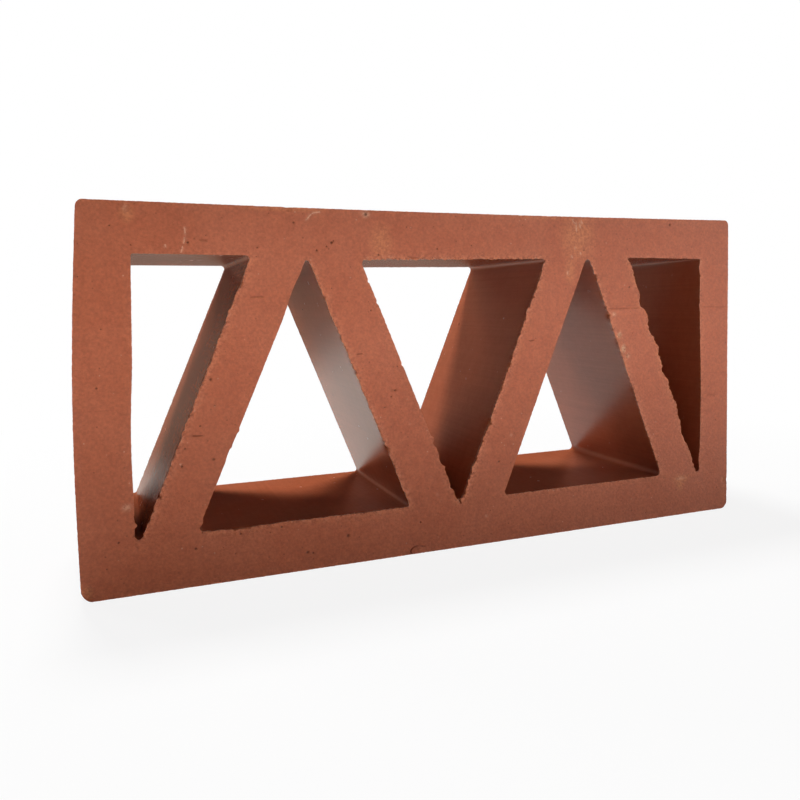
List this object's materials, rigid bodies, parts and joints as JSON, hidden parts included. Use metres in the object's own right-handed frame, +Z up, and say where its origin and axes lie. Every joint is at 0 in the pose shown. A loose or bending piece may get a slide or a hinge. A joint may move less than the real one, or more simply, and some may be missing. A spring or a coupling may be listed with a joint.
{
  "type": "terracotta breeze block",
  "caption": "Rectangular fired clay screen block whose zigzag webs leave triangular cells open from front to back, laid in courses to build walls that let light and air through.",
  "frame": {"origin": "middle of the bottom bed face, on the surface that the block stands on", "axes": "+X along the block's length, +Y from the front cut face to the back one, +Z up"},
  "size_m": [0.29, 0.075, 0.14],
  "materials": {
    "fired_clay": "matte"
  },
  "bodies": {
    "root": {"breeze_block": "fired_clay"}
  },
  "joints": []
}
